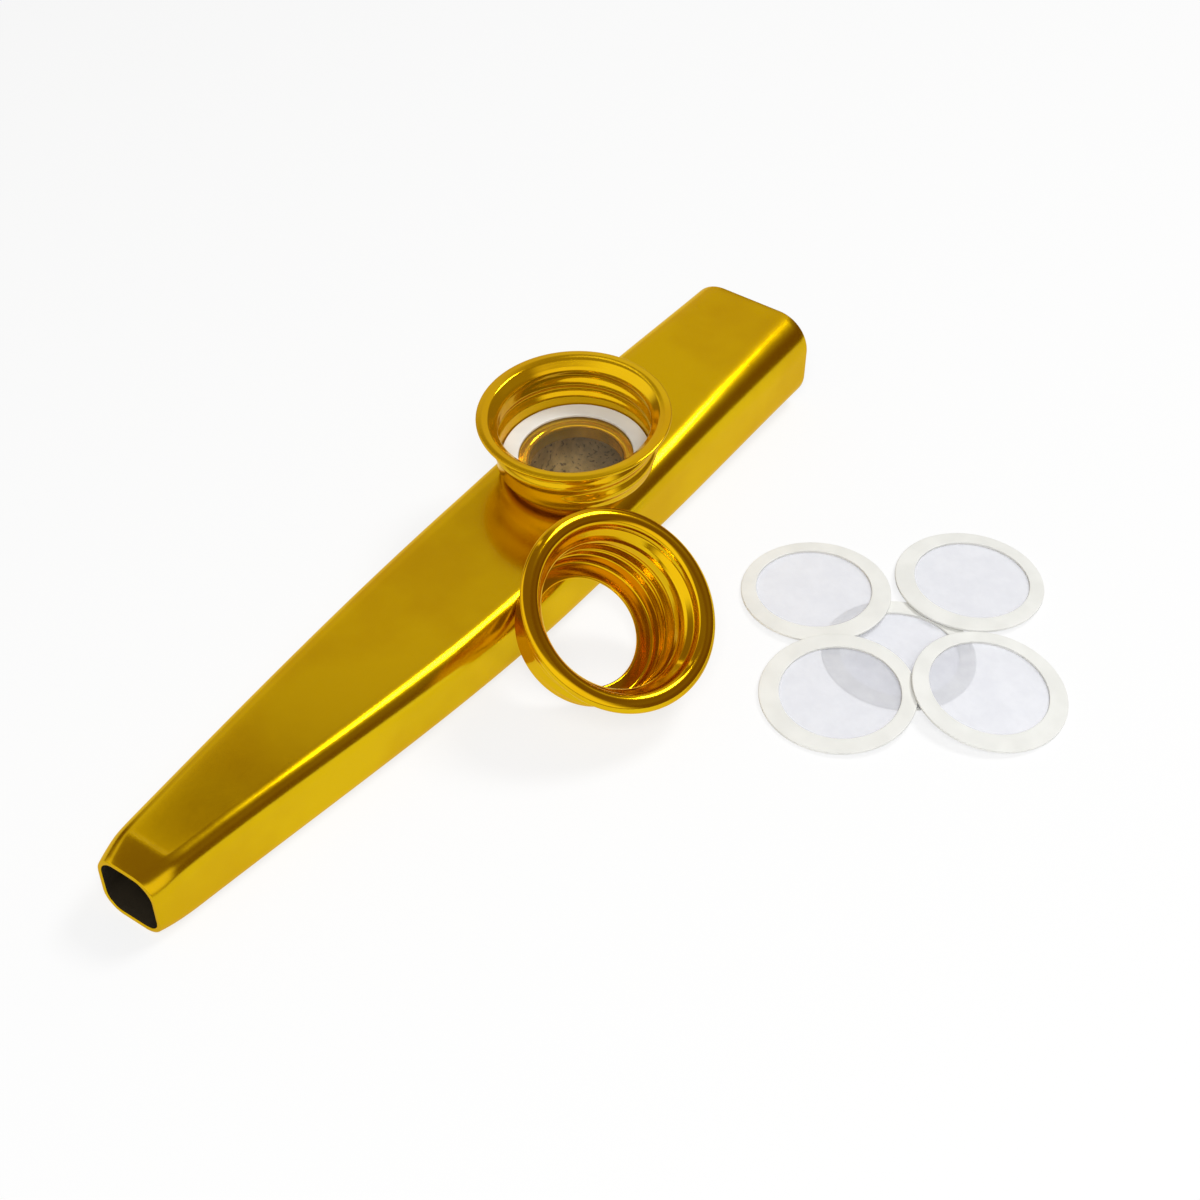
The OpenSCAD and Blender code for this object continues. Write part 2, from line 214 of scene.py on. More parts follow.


# %% [markdown]
# ## Bare inner wall
# Inside, the tube is undyed sheet: dull grey brown, mottled, with dark specks of
# dried drawing oil, and rubbed cleaner by the mouth end. Deep in, towards the
# outlet, painted shade darkens it. It is seen through the throat and at both ends.
# A second material on the inner faces is simpler than a mask in the gold one.

# %% Bare inner wall
MOTTLE_DARK, MOTTLE_LIGHT = (0.42, 0.28, 0.10), (0.76, 0.53, 0.21)
# The last of these colours is painted shade, for the wall deep in the tube.
RUBBED, OIL, PAINTED_SHADE = (0.58, 0.54, 0.46), (0.07, 0.04, 0.025), (0.03, 0.024, 0.015)


def bare_finish(name):
    material, w = empty_material(name)
    point = w.node("ShaderNodeTexCoord", output="Object")
    mottle = w.noise(point, scale=420, detail=5, roughness=0.65).step(0.35, 0.7)
    oil = w.noise(point, scale=1500, detail=3, roughness=0.6).step(0.57, 0.64)
    grain = w.noise(point, scale=5000, detail=2)
    _, along, _ = point.parts()
    rubbed = along.step(8 * MM, 26 * MM)
    # Painted shade: full 55 mm towards the outlet, none by 20 mm.
    painted_shade_mask = along.step(-55 * MM, -20 * MM, 1, 0)
    oil = oil * (1 - rubbed * 0.8)
    colour = w.mix(mottle, MOTTLE_DARK, MOTTLE_LIGHT)
    colour = w.mix(rubbed * 0.85, colour, RUBBED)
    colour = w.mix(oil * 0.85, colour, OIL)
    # The wall darkens to painted shade deep in the tube.
    colour = w.mix(painted_shade_mask, colour, PAINTED_SHADE)
    inputs = {
        "Base Color": colour,
        "Roughness": 0.45 + oil * 0.3,
        "Metallic": 0.15 + rubbed * 0.55,
        "Normal": w.bump(grain, strength=0.3, depth=0.04 * MM),
    }
    put_shader(w, w.node("ShaderNodeBsdfPrincipled", None, inputs))
    return material


# %% [markdown]
# ## Paper and film
# A membrane is a ring of smooth stiff paper with a clear film glued under it.
# The paper is a warm white with a faint fibre. The film could be glass with
# Transmission, but light through a thin sheet hardly bends, so it is a thin solid
# with an even, low alpha and a glossy face.

# %% Paper and film
PAPER_SHADE, PAPER_WHITE, FIBRE = (0.80, 0.80, 0.76), (0.86, 0.86, 0.82), (0.80, 0.79, 0.72)
COOL_FILM = (0.80, 0.81, 0.88), (0.86, 0.87, 0.93)
# The fitted film's colours are a painted reflection of the gold cup round it.
PAINTED_GOLD_REFLECTION = (0.60, 0.50, 0.34), (0.75, 0.65, 0.45)
SPARE_ALPHA, FITTED_ALPHA = 0.38, 0.03


def paper_finish(name):
    material, w = empty_material(name)
    point = w.node("ShaderNodeTexCoord", output="Object")
    fibre = w.noise(point, scale=2600, detail=4, roughness=0.7)
    cloud = w.noise(point, scale=260, detail=2)
    colour = w.mix(cloud.step(0.3, 0.7), PAPER_SHADE, PAPER_WHITE)
    colour = w.mix(fibre.step(0.62, 0.75) * 0.35, colour, FIBRE)
    inputs = {
        "Base Color": colour,
        "Roughness": 0.72 + fibre * 0.1,
        "Normal": w.bump(fibre, strength=0.25, depth=0.03 * MM),
    }
    put_shader(w, w.node("ShaderNodeBsdfPrincipled", None, inputs))
    return material


def film_finish(name, alpha, dull, clear):
    material, w = empty_material(name)
    point = w.node("ShaderNodeTexCoord", output="Object")
    haze = w.noise(point, scale=330, detail=3, roughness=0.6)
    crease = w.noise(point, scale=900, detail=2, roughness=0.5)
    inputs = {
        "Base Color": w.mix(haze.step(0.3, 0.7), dull, clear),
        "Roughness": 0.2 + haze * 0.1,
        "Alpha": alpha + (haze - 0.5) * alpha * 0.2,
        "Normal": w.bump(crease, strength=0.12, depth=0.05 * MM),
    }
    put_shader(w, w.node("ShaderNodeBsdfPrincipled", None, inputs))
    return material


# %% [markdown]
# ## From a finished object to a plain mesh
# Every piece ends the same way: its modifiers are applied, doubles are merged,
# its faces are turned outwards, and it rides on the body of the part it stands
# for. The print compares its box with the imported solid's, in mm.

# %% Finishing a piece
SMOOTH_UNDER = math.radians(38)
SAME_POINT = 1e-7


def object_of(name, mesh):
    made = bpy.data.objects.new(name, mesh)
    bpy.context.scene.collection.objects.link(made)
    return made


def plain_mesh(obj):
    """Replaces the object's mesh by what its modifiers make of it, and removes them."""
    bpy.context.view_layer.update()
    seen = obj.evaluated_get(bpy.context.evaluated_depsgraph_get())
    mesh = bpy.data.meshes.new_from_object(seen)
    obj.modifiers.clear()
    obj.data = mesh
    mesh.name = obj.name


def turn_outwards(obj):
    """Merges doubles, turns the faces outwards and says whether the mesh is closed."""
    work = bmesh.new()
    work.from_mesh(obj.data)
    bmesh.ops.remove_doubles(work, verts=work.verts, dist=SAME_POINT)
    bmesh.ops.recalc_face_normals(work, faces=work.faces)
    closed = all(edge.is_manifold for edge in work.edges)
    work.to_mesh(obj.data)
    work.free()
    obj.data.shade_smooth()
    obj.data.set_sharp_from_angle(angle=SMOOTH_UNDER)
    return closed


def finish_piece(obj, body, node):
    closed = turn_outwards(obj)
    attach(obj, body)
    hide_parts(node)
    points = np.array([v.co for v in obj.data.vertices])
    low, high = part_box(node)
    off = [*(points.min(0) - low) / MM, *(points.max(0) - high) / MM]
    print(obj.name, len(obj.data.polygons), "faces, closed", closed, "box off", np.round(off, 3))


# %% [markdown]
# ## The pressed tube
# The tube is drawn from one round blank: flat underneath and nearly flat on top,
# widest behind the cup, and closed to a small outlet with a crease across its top
# just before the end. Bending a cylinder by hand would take many steps and give
# no sizes. Here the width, height and edge radius are worked out for each place
# along the tube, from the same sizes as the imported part.

# %% Sizes of the tube in mm
MOUTH_REACH, OUTLET_REACH, WALL = 41, 79, 0.55
WIDTH, SEAT_HEIGHT, SEAT_SLOPE, EDGE = 19.9, 11.2, math.radians(4.5), 3.3
MOUTH_WIDTH, MOUTH_HEIGHT, MOUTH_EDGE = 18.7, 13.6, 4.8
NOSE_LENGTH, NOSE_WIDTH, NOSE_HEIGHT, NOSE_EDGE = 5.6, 10, 9.2, 2.2
OUTLET_WIDTH, OUTLET_HEIGHT, OUTLET_EDGE = 8.3, 8.3, 2.6
WIDEST_BACK, SEAT_HALF = 13.5, 10.85
NOSE_START = NOSE_LENGTH - OUTLET_REACH
SEAT_RISE = math.tan(SEAT_SLOPE)

# How fast the tube narrows, sinks or rises at the ends of a blend, in mm per mm
NOSE_TAPER, OUTLET_TAPER, MOUTH_TAPER = 0.18, 0.62, 0.045
NOSE_SINK, MOUTH_RISE = 0.03, 0.035
# The slight dome of the top: its height, where it starts and how long it grows
CROWN, CROWN_FROM, CROWN_RUN = 0.3, -28, 40
# The crease of the nose: the fall before it, its place as a share, and its bend
NOSE_FALL, CREASE, CREASE_BEND = 0.17, 0.42, 0.07
print("the tube is", OUTLET_REACH + MOUTH_REACH, "mm long and", WIDTH, "mm wide")

# %% [markdown]
# ## The tube's outline
# Each size goes from one place to the next by a cubic that also keeps the slope
# at both ends, so the skin has no kink where two of them meet. A curve object
# could hold the outline too, but a formula can be asked for its value anywhere.

# %% The tube's outline
def blend(t, a, b, slope_a, slope_b):
    return (
        a * (2 * t**3 - 3 * t**2 + 1)
        + b * (3 * t**2 - 2 * t**3)
        + slope_a * (t**3 - 2 * t**2 + t)
        + slope_b * (t**3 - t**2)
    )


def fold(t):
    """Flat before the nose's crease, falling after it, with a small bend between."""
    return (t - CREASE + math.hypot(t - CREASE, CREASE_BEND)) / 2


def tube_width(y):
    if y < NOSE_START:
        t = (NOSE_START - y) / NOSE_LENGTH
        tapers = -NOSE_TAPER * NOSE_LENGTH, -OUTLET_TAPER * NOSE_LENGTH
        return blend(t, NOSE_WIDTH, OUTLET_WIDTH, *tapers)
    if y < -WIDEST_BACK:
        run = -WIDEST_BACK - NOSE_START
        return blend((-WIDEST_BACK - y) / run, WIDTH, NOSE_WIDTH, 0, -NOSE_TAPER * run)
    run = MOUTH_REACH + WIDEST_BACK
    return blend((y + WIDEST_BACK) / run, WIDTH, MOUTH_WIDTH, 0, -MOUTH_TAPER * run)


def tube_height(y):
    if y < NOSE_START:
        t = (NOSE_START - y) / NOSE_LENGTH
        bent = (fold(t) - fold(0)) / (fold(1) - fold(0))
        return NOSE_HEIGHT - NOSE_FALL * t - (NOSE_HEIGHT - NOSE_FALL - OUTLET_HEIGHT) * bent
    if y < -SEAT_HALF:
        run = -SEAT_HALF - NOSE_START
        low = SEAT_HEIGHT - SEAT_HALF * SEAT_RISE
        return blend((-SEAT_HALF - y) / run, low, NOSE_HEIGHT, -SEAT_RISE * run, -NOSE_SINK * run)
    if y > SEAT_HALF:
        run = MOUTH_REACH - SEAT_HALF
        high = SEAT_HEIGHT + SEAT_HALF * SEAT_RISE
        return blend((y - SEAT_HALF) / run, high, MOUTH_HEIGHT, SEAT_RISE * run, MOUTH_RISE * run)
    return SEAT_HEIGHT + y * SEAT_RISE


def tube_edge(y):
    if y < NOSE_START:
        return blend((NOSE_START - y) / NOSE_LENGTH, NOSE_EDGE, OUTLET_EDGE, 0, 0)
    if y < 0:
        return blend(y / NOSE_START, EDGE, NOSE_EDGE, 0, 0)
    return blend(y / MOUTH_REACH, EDGE, MOUTH_EDGE, 0, 0)


for spot, y in {"outlet": -OUTLET_REACH, "nose": NOSE_START, "mouth end": MOUTH_REACH}.items():
    print("at the", spot, round(tube_width(y), 2), "mm wide and", round(tube_height(y), 2), "high")

# %% [markdown]
# ## One cross-section
# A cross-section is a rectangle with round edges: four arcs with straight runs
# between them, lifted in the middle of the top by the dome. Every section has as
# many points as the next, so that the two can be joined point by point.

# %% One cross-section
CORNER_STEPS, FLAT_STEPS = 18, 10


def tube_section(y, inset):
    half, top, r = tube_width(y) / 2 - inset, tube_height(y) - inset, tube_edge(y) - inset
    crown = CROWN * min(1, max(0, (CROWN_FROM - y) / CROWN_RUN)) ** 1.5
    side, upper, lower = half - r, top - r, inset + r
    centres = [(side, upper), (-side, upper), (-side, lower), (side, lower)]
    ring = []
    for c, (cx, cz) in enumerate(centres):
        for k in range(CORNER_STEPS + 1):
            a = math.radians(90 * (c + k / CORNER_STEPS))
            ring.append((cx + r * math.cos(a), cz + r * math.sin(a)))
        nx, nz = centres[(c + 1) % 4]
        ex, ez = ring[-1]
        sx, sz = ex + nx - cx, ez + nz - cz
        ring += [
            (ex + (sx - ex) * k / FLAT_STEPS, ez + (sz - ez) * k / FLAT_STEPS)
            for k in range(1, FLAT_STEPS)
        ]
    ring = np.array(ring)
    lift = np.clip((ring[:, 1] - top / 2) / (top / 2), 0, 1) ** 2
    ring[:, 1] += crown * lift * np.clip(1 - (ring[:, 0] / (half + 1e-9)) ** 2, 0, 1)
    return np.column_stack([ring[:, 0], np.full(len(ring), y), ring[:, 1]])


print("a cross-section has", len(tube_section(0, 0)), "points")

# %% [markdown]
# ## The loft of the tube
# The sections form one closed loop: along the outer skin, round the cut at the
# mouth, back along the inner skin and round the cut at the outlet. A Solidify
# modifier could add the wall, but its cut would be square, and the real one is
# rounded. The outlet was cut a little aslant.

# %% The loft of the tube
# Sections along a skin. A quarter of their spacing crowds towards the outlet
STATIONS, EVEN_SHARE = 150, 0.75
CUT_ROUND, CUT_ROWS = 0.14, 5
# How far back one low corner of the outlet is cut, how far along the tube the
# slant reaches, and how far across the outlet it goes from none to all
SLANT, SLANT_REACH, SLANT_ACROSS = 0.35, 3, 18


def cut_end(y, outward):
    """The rounded cut of the sheet at one end of the tube, from its outer skin to its inner."""
    rows = []
    for start, centre in ((0, CUT_ROUND), (90, WALL - CUT_ROUND)):
        for k in range(CUT_ROWS):
            a = math.radians(start + 90 * k / (CUT_ROWS - 1))
            inset = centre - CUT_ROUND * math.cos(a)
            rows.append((y + outward * CUT_ROUND * (math.sin(a) - 1), inset))
    return rows


first, last = -OUTLET_REACH, MOUTH_REACH
share = np.linspace(0, 1, STATIONS)
share = EVEN_SHARE * share + (1 - EVEN_SHARE) * share**2
along = first + CUT_ROUND + (last - first - 2 * CUT_ROUND) * share
skins = [(y, 0) for y in along[1:-1]] + cut_end(last, 1)
skins += [(y, WALL) for y in along[-2:0:-1]] + cut_end(first, -1)[::-1]
rows = np.array([tube_section(y, inset) for y, inset in skins])
near_end = np.clip((rows[:, :, 1] - first - SLANT_REACH) / -SLANT_REACH, 0, 1) ** 2
lean = (rows[:, :, 0] - rows[:, :, 2] + SLANT_ACROSS / 2) / SLANT_ACROSS
rows[:, :, 1] += SLANT * near_end * np.clip(lean, 0, 1)
print("the loft has", rows.shape[0], "rows of", rows.shape[1], "points")

# %% [markdown]
# ## The tube's mesh and finishes
# Rolling the grid of point numbers by one row and one step gives each point's
# neighbours, and so all the faces at once. The faces of the inner rows take the
# bare finish and the others the gold one.

# %% The tube's mesh and finishes
count, around = rows.shape[:2]
grid = np.arange(count * around).reshape(count, around)
next_row, next_step = np.roll(grid, -1, 0), np.roll(grid, -1, 1)
faces = np.stack([grid, next_step, np.roll(next_row, -1, 1), next_row], -1).reshape(-1, 4)
mesh = bpy.data.meshes.new("tube")
mesh.from_pydata((rows.reshape(-1, 3) * MM).tolist(), [], faces.tolist())
skin_rows = len(along) - 2
inner_first = skin_rows + 2 * CUT_ROWS
is_inner = [inner_first <= row < inner_first + skin_rows for row in range(count)]
mesh.materials.append(gold_finish("gold anodising, tube", TUBE_ROUGH))
mesh.materials.append(bare_finish("bare inner wall"))
mesh.polygons.foreach_set("material_index", np.repeat(is_inner, around).astype(np.int32))
tube = object_of("tube", mesh)
print("the tube's loft is closed:", turn_outwards(tube))

# %% [markdown]
# ## The hole under the cup
# A punch cuts a round hole in the top for the cup's lip. A Boolean modifier with
# a cylinder along the cup's axis makes it, because the hole is one clean cut
# through a curved skin.

# %% Punching the hole
SEAT = Matrix.Translation(Vector((0, 0, SEAT_HEIGHT * MM))) @ Matrix.Rotation(SEAT_SLOPE, 4, "X")
LIP_HOLE, PUNCH_HIGH = 6.45, 3

work = bmesh.new()
punch_sizes = {"radius1": LIP_HOLE * MM, "radius2": LIP_HOLE * MM, "depth": PUNCH_HIGH * MM}
bmesh.ops.create_cone(work, cap_ends=True, segments=160, **punch_sizes)
punch_mesh = bpy.data.meshes.new("punch")
work.to_mesh(punch_mesh)
work.free()
punch_mesh.transform(SEAT)
punch = object_of("punch", punch_mesh)
cut = tube.modifiers.new("hole", "BOOLEAN")
cut.operation, cut.solver, cut.object = "DIFFERENCE", "EXACT", punch
plain_mesh(tube)
bpy.data.objects.remove(punch)
finish_piece(tube, "kazoo", "body_tube")

# %% [markdown]
# ## One tree for everything that is turned
# The cup and cap were spun from sheet and their thread was rolled in, and a
# membrane's ring and film are punched discs. All of them follow one rule: a
# profile carried round an axis. A Screw modifier could do that, but it can't push
# a thread out of the wall. So one Geometry Nodes tree makes them all, with named
# inputs for what differs.

# %% The turning tree's inputs
TURNING_INPUTS = {
    "Profile": ("NodeSocketGeometry", None),
    "Sides": ("NodeSocketInt", 192),
    "Pitch": ("NodeSocketFloat", 2.2 * MM),
    "Bead depth": ("NodeSocketFloat", 0.0),
    "Bead width": ("NodeSocketFloat", 1.2 * MM),
    "Bead low": ("NodeSocketFloat", 0.0),
    "Turns": ("NodeSocketFloat", 1.5),
    "Start": ("NodeSocketFloat", 0.0),
    "Window shift": ("NodeSocketVector", (0, 0, 0)),
    "Ripple": ("NodeSocketFloat", 0.0),
    "Seed": ("NodeSocketFloat", 0.0),
    "Finish": ("NodeSocketMaterial", None),
}
turning = bpy.data.node_groups.new("turned piece", "GeometryNodeTree")
for name, (kind, value) in TURNING_INPUTS.items():
    made = turning.interface.new_socket(name, in_out="INPUT", socket_type=kind)
    if value is not None:
        made.default_value = value
turning.interface.new_socket("Piece", in_out="OUTPUT", socket_type="NodeSocketGeometry")

g = Wire(turning)
entry = turning.nodes.new("NodeGroupInput")
given = {name: Wire(turning, entry.outputs[name]) for name in TURNING_INPUTS}
print("the turning tree has the inputs", ", ".join(given))

# %% [markdown]
# ## Reading the profile
# The tree lays a flat grid with one row for each point of the profile and one
# column for each side. A point's number then gives its row and column: the row
# says which point of the profile to read, and the column the angle.

# %% Reading the profile
points = g.node("GeometryNodeAttributeDomainSize", None, {0: given["Profile"]}, "Point Count")
columns = given["Sides"] + 1
index = g.node("GeometryNodeInputIndex")
row = (index / columns).maths("FLOOR")
column = index - row * columns


def of_profile(field):
    """A value of the profile's point in this row."""
    kind = "FLOAT_VECTOR" if field.socket.type == "VECTOR" else "FLOAT"
    inputs = {"Geometry": given["Profile"], "Value": field, "Index": row}
    return g.node("GeometryNodeSampleIndex", {"data_type": kind}, inputs)


def named(attribute):
    return g.node("GeometryNodeInputNamedAttribute", {"data_type": "FLOAT"}, {"Name": attribute})


radius, _, height = of_profile(g.node("GeometryNodeInputPosition")).parts()
threaded, inner = of_profile(named("threaded")), of_profile(named("inner"))
angle = column / given["Sides"] * math.tau
print("the profile is read by", len(turning.nodes), "nodes so far")

# %% [markdown]
# ## The rolled thread
# Rolling pushes the sheet outwards along a helix, so both skins move alike. The
# tree works out how many turns up the thread the nearest bead is, and how far
# off its middle this point is. The bead fades in and out over part of a turn.

# %% The rolled thread
RUN_OUT = -0.02, 0.2

climbed = (height - given["Bead low"]) / given["Pitch"]
turned = (angle - given["Start"]) / math.tau
turns_in = turned + (climbed - turned).maths("ROUND")
to_end = turns_in.maths("MINIMUM", given["Turns"] - turns_in)
fade = to_end.step(*RUN_OUT)
off = (climbed - turns_in) * given["Pitch"] / given["Bead width"] * 2
bead = (1 - off * off).maths("MAXIMUM", 0)
pushed = radius + threaded * fade * given["Bead depth"] * bead * bead
print("with its thread the turning tree has", len(turning.nodes), "nodes")

# %% [markdown]
# ## The window, the ripple and the finished mesh
# Where the profile is marked as inner, a shift moves the window off centre. A
# noise lifts a film's points a little. Then the grid takes its new places, its
# first and last columns and the points on the axis are merged, and the tree ends
# in Realize Instances and Set Material, because the export drops instances.

# %% The window, the ripple and the finished mesh
RIPPLE_SCALE = 260

east, north = angle.maths("COSINE"), angle.maths("SINE")
shift_x, shift_y, _ = given["Window shift"].parts()
across, deep = pushed * east + inner * shift_x, pushed * north + inner * shift_y
place = g.vector(across, deep, given["Seed"])
wave = g.noise(place, RIPPLE_SCALE, detail=1) - 0.5
spot = g.vector(across, deep, height + wave * given["Ripple"])

lattice = g.node("GeometryNodeMeshGrid", None, {"Vertices X": points, "Vertices Y": columns})
bent = g.node("GeometryNodeSetPosition", None, {"Geometry": lattice, "Position": spot})
merging = {"Geometry": bent, "Distance": 2 * SAME_POINT}
joined = g.node("GeometryNodeMergeByDistance", None, merging)
real = g.node("GeometryNodeRealizeInstances", None, {0: joined})
dressed = g.node("GeometryNodeSetMaterial", None, {"Geometry": real, "Material": given["Finish"]})
exit_node = turning.nodes.new("NodeGroupOutput")
turning.links.new(dressed.socket, exit_node.inputs[0])
print("the turning tree has", len(turning.nodes), "nodes")

# %% [markdown]
# ## Profiles
# A profile is written as its corners, each with the radius of its bend, the way
# a spinner would draw it. A Bevel modifier gives every corner one width, and
# here each bend has its own. The helper rounds the corners and splits long runs,
# so that the thread has rows to push out.

# %% Drawing a profile
def rounded(corners, longest=0.5, bend_step=math.radians(15)):
    """A closed line through corners (radius, height, bend), with its bends rounded."""
    line = []
    for i, (r, z, bend) in enumerate(corners):
        here = Vector((r, z))
        if bend == 0:
            line.append(here)
            continue
        back = (Vector(corners[i - 1][:2]) - here).normalized()
        ahead = (Vector(corners[(i + 1) % len(corners)][:2]) - here).normalized()
        half = back.angle(ahead) / 2
        centre = here + (back + ahead).normalized() * bend / math.sin(half)
        start = here + back * bend / math.tan(half) - centre
        sweep = start.angle_signed(here + ahead * bend / math.tan(half) - centre)
        steps = max(3, math.ceil(abs(sweep) / bend_step))
        for k in range(steps + 1):
            line.append(centre + Matrix.Rotation(-sweep * k / steps, 2) @ start)
    full = []
    for a, b in zip(line, line[1:] + line[:1]):
        steps = max(1, math.ceil((b - a).length / longest))
        full += [a.lerp(b, k / steps) for k in range(steps)]
    return full + full[:1]


# %% [markdown]
# ## From a profile to a turned piece
# The profile becomes a mesh of loose points that carry two marks, threaded and
# inner, as attributes. The tree reads them by name, so it needs no inputs for
# them. The modifier's inputs are set by each socket's identifier, because that
# never changes, and the result is made a plain mesh at once.

# %% From a profile to a turned piece
def profile_mesh(name, line, threaded=None, inner=None):
    """The profile as points with the marks that the turning tree reads."""
    mesh = bpy.data.meshes.new(name + " profile")
    mesh.from_pydata([(p.x * MM, 0, p.y * MM) for p in line], [], [])
    for mark, rule in (("threaded", threaded), ("inner", inner)):
        values = mesh.attributes.new(mark, "FLOAT", "POINT")
        values.data.foreach_set("value", [rule(p) if rule else 0.0 for p in line])
    return mesh


def turned_piece(name, profile, place, finish, **inputs):
    """Runs the turning tree on a profile and moves the mesh to its place."""
    obj = object_of(name, profile)
    modifier = obj.modifiers.new("turning", "NODES")
    modifier.node_group = turning
    values = {key.replace("_", " ").capitalize(): value for key, value in inputs.items()}
    for socket in turning.interface.items_tree:
        if socket.name in values:
            modifier[socket.identifier] = values[socket.name]
        if socket.name == "Finish":
            modifier[socket.identifier] = finish
    plain_mesh(obj)
    obj.data.transform(place)
    return obj


# %% [markdown]
# ## The thread of cup and cap
# Both threads have the same pitch and bead, because one is screwed into the
# other. The rule marks a profile's points on the straight wall as threaded.

# %% The thread of cup and cap
# The sheet, how far its outer skin bends past the inner one, how near the wall's
# middle a point counts as on it, and the longest step along a profile, all in mm
SHEET, SKIN_SHIFT, WALL_REACH, FINE_ROWS = 0.45, 0.22, 0.25, 0.12
THREAD = dict(pitch=2.2 * MM, bead_depth=0.48 * MM, bead_width=2.1 * MM, start=-math.pi / 2)


def on_wall(inside, outside, low, high):
    """A rule that marks the points of a straight wall between two heights."""
    middle = (inside + outside) / 2
    return lambda p: float(abs(p.x - middle) < WALL_REACH and low < p.y < high)


print("the thread climbs", round(THREAD["pitch"] / MM, 2), "mm in a turn")

# %% [markdown]
# ## The threaded cup
# The cup has a flat brim with a folded edge, a short funnel, a wall with one and
# three quarter turns of rolled thread, and a floor with a round throat. Below the
# floor a folded foot stands on the tube, and a lip goes down through the hole.
# Its finish is a little less metallic than the cap's, so that it scatters light
# into its own depth. The corners run up the inside, over the brim and down the
# outside.

# %% The threaded cup
CUP_IN, CUP_OUT, CUP_HIGH, CUP_BRIM = 9.5, 9.95, 8.4, 12.1
BAND_IN, FUNNEL_TOP, BRIM_IN, FUNNEL_LOW, FLOOR = 10.8, 10.62, 11.3, 7.1, 0.7
BRIM_DIP, BRIM_FALL = 0.14, 0.08
THROAT, LIP, FOLD, FOOT_OUT, FOOT_IN = 5.95, 6.4, 6.9, 8.7, 7.6
LIP_PLAY = 0.05
UNDER = -WALL * math.cos(SEAT_SLOPE) - LIP_PLAY

cup_line = rounded(
    [
        (THROAT, UNDER - SHEET, 0.12),
        (THROAT, FLOOR + SHEET, 0.6),
        (CUP_IN, FLOOR + SHEET, 0.45),
        (CUP_IN, FUNNEL_LOW, 1.2),
        (FUNNEL_TOP, CUP_HIGH - BRIM_DIP, 0.5),
        (BRIM_IN, CUP_HIGH, 1.5),
        (CUP_BRIM, CUP_HIGH - BRIM_FALL, 0.18),
        (CUP_BRIM, CUP_HIGH - SHEET, 0.15),
        (BAND_IN, CUP_HIGH - SHEET, 0.3),
        (CUP_OUT, FUNNEL_LOW - SKIN_SHIFT, 0.4),
        (CUP_OUT, FLOOR, 0.9),
        (FOOT_OUT, FLOOR, 0.15),
        (FOOT_OUT, 0, 0.45),
        (FOOT_IN, 0, 0.45),
        (FOOT_IN, FLOOR, 0.1),
        (LIP, FLOOR, 0.1),
        (LIP, UNDER, 0.1),
        (FOLD, UNDER, 0.2),
        (FOLD, UNDER - SHEET, 0.2),
    ],
    longest=FINE_ROWS,
)
cup = turned_piece(
    "threaded_cup",
    profile_mesh("cup", cup_line, on_wall(CUP_IN, CUP_OUT, low=1.6, high=FUNNEL_LOW)),
    SEAT,
    gold_finish("gold anodising, cup", SPUN_ROUGH, SPUN_LIGHT, SPUN_DEEP, SEAT, metal=0.78),
    sides=288,
    bead_low=2.55 * MM,
    turns=1.75,
    **THREAD,
)
finish_piece(cup, "kazoo", "turret_cup")

# %% [markdown]
# ## The screw cap
# The cap is spun like the cup, but its brim is a half-round roll that fingers
# turn. Its neck has the thread that fits the cup, and its end turns in to a
# flange round the open hole. It leans on the tube, so it is turned in its own
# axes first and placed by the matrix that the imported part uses.

# %% Where the screw cap leans
CAP_AT = Vector((15.35084, -19.2, 5.16758))
CAP_LEAN, CAP_TURN = math.radians(36.3), math.radians(-11)
CAP = (
    Matrix.Translation(CAP_AT * MM)
    @ Matrix.Rotation(CAP_TURN, 4, "Z")
    @ Matrix.Rotation(CAP_LEAN, 4, "Y")
)
print("the cap's foot is at", [round(c, 1) for c in CAP_AT], "mm")

# %% [markdown]
# ## The cap's roll
# The roll is too round for one bend. Its inner slope is a quarter circle made a
# little squarer and its outer half an oval, both written point by point, with no
# bend to round.

# %% The screw cap
CAP_OUT, CAP_IN, CAP_HOLE, CAP_MOUTH = 9.3, 8.85, 6.75, 10
CAP_HIGH, ROLL, CROWN_R, ROLL_R, ROLL_WIDE = 10.5, 1.3, 11.2, 0.78, 1.15
NECK_TOP, ROLL_LOW = 8.0, 9.2
SQUARENESS = 0.75

roll_in = [
    (
        CROWN_R - (CROWN_R - CAP_MOUTH) * math.cos(a) ** SQUARENESS,
        ROLL_LOW + ROLL * math.sin(a) ** SQUARENESS,
        0,
    )
    for a in np.radians(np.arange(6, 90, 6))
]
roll_out = [
    (CROWN_R + ROLL_WIDE * math.sin(a), CAP_HIGH - ROLL_R + ROLL_R * math.cos(a), 0)
    for a in np.radians(np.arange(0, 181, 9))
]
cap_line = rounded(
    [
        (CAP_HOLE, 0, 0.15),
        (CAP_HOLE, SHEET, 0.25),
        (CAP_IN, SHEET, 0.45),
        (CAP_IN, NECK_TOP, 1.8),
        (CAP_MOUTH, ROLL_LOW, 0.4),
        *roll_in,
        *roll_out,
        (CAP_MOUTH + SKIN_SHIFT, ROLL_LOW - SHEET, 0.3),
        (CAP_OUT, NECK_TOP - SKIN_SHIFT, 0.5),
        (CAP_OUT, 0, 0.9),
    ],
    longest=FINE_ROWS,
)
cap = turned_piece(
    "screw_cap_shell",
    profile_mesh("cap", cap_line, on_wall(CAP_IN, CAP_OUT, low=0.85, high=NECK_TOP)),
    CAP,
    gold_finish("gold anodising, cap", SPUN_ROUGH, SPUN_LIGHT, SPUN_DEEP, CAP),
    sides=288,
    bead_low=2.1 * MM,
    turns=2.25,
    **THREAD,
)
finish_piece(cap, "cap", "screw_cap")

# %% [markdown]
# ## The membranes
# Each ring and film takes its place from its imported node: the middle of the
# node's box, and the direction in which its points spread least, which is the
# disc's axis. That is surer than writing out twelve places again.

